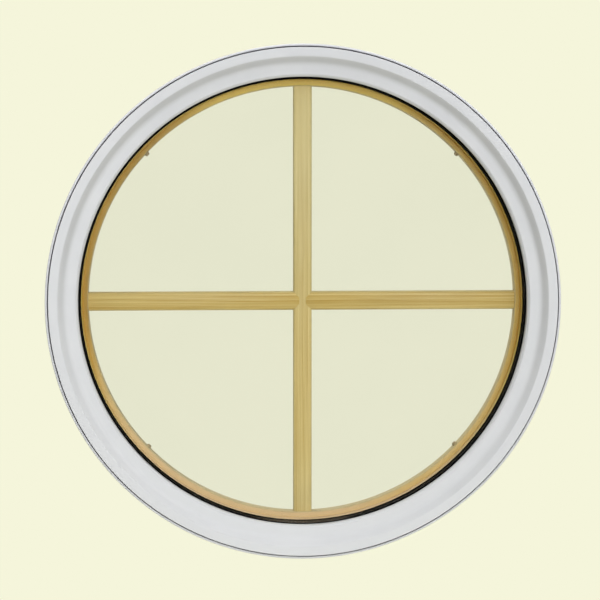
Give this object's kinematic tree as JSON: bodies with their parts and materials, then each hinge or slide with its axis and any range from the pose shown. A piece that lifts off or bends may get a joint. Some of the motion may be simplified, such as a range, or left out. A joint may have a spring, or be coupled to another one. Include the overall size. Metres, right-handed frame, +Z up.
{
  "type": "round window",
  "caption": "Round fixed window: a white moulded casing, sealed insulating glass and a wooden cross grille in a round wooden jamb that fits a wall opening.",
  "frame": {"origin": "centre of the window on the wall plane, where the casing's back meets the jamb", "axes": "+Y along the window's axis towards indoors, +Z up, outdoors towards -Y"},
  "size_m": [0.8001, 0.1477, 0.8],
  "materials": {
    "casing": "white moulded plastic, satin",
    "screws": "zinc-plated steel",
    "jamb": "clear-finished pine",
    "tape": "matt black foam tape",
    "glass": "clear float glass",
    "spacer": "matt black flexible spacer",
    "sealant": "dark sealant",
    "blocks": "moulded rubber",
    "stop": "clear-finished pine",
    "grille": "clear-finished pine",
    "dowels": "plain beech",
    "grille_screws": "dull bronzed steel"
  },
  "bodies": {
    "root": {"exterior_casing": "casing", "casing_screws": "screws", "casing_plugs": "casing", "jamb": "jamb", "outer_tape": "tape", "outer_pane": "glass", "spacer": "spacer", "edge_sealant": "sealant", "inner_pane": "glass", "inner_tape": "tape", "setting_blocks": "blocks", "centring_blocks": "blocks", "glazing_stop": "stop", "stop_brads": "screws", "grille_ring": "grille", "vertical_bar": "grille", "horizontal_bar": "grille", "grille_dowels": "dowels", "grille_screws": "grille_screws"}
  },
  "joints": []
}
